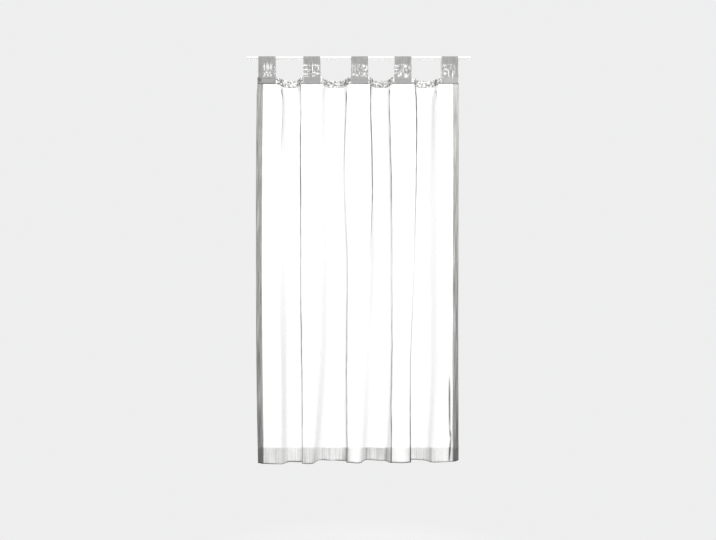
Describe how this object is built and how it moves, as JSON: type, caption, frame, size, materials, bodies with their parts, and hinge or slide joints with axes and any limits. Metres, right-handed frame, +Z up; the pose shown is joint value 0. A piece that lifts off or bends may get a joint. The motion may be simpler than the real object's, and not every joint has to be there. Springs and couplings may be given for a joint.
{
  "type": "cafe curtain with rod",
  "caption": "Sheer white cafe curtain hanging in uneven soft folds from sewn tabs over a thin straight rod, with turned side and bottom hems.",
  "frame": {"origin": "centre of the rod's flat left end, as seen from the room", "axes": "+X along the rod to its right end, -Y towards the room, +Z up"},
  "size_m": [0.706, 0.0604, 1.283],
  "materials": {
    "rod_lacquer": "white, satin",
    "tab_voile": "two layers of thin plain weave, nearly opaque",
    "doubled_voile": "two layers of thin plain weave, slightly gathered",
    "white_voile": "one layer of sheer plain weave, matt"
  },
  "bodies": {
    "root": {"rod": "rod_lacquer", "tab_1": "tab_voile", "tab_2": "tab_voile", "tab_3": "tab_voile", "tab_4": "tab_voile", "tab_5": "tab_voile", "heading": "doubled_voile", "panel": "white_voile"}
  },
  "joints": []
}
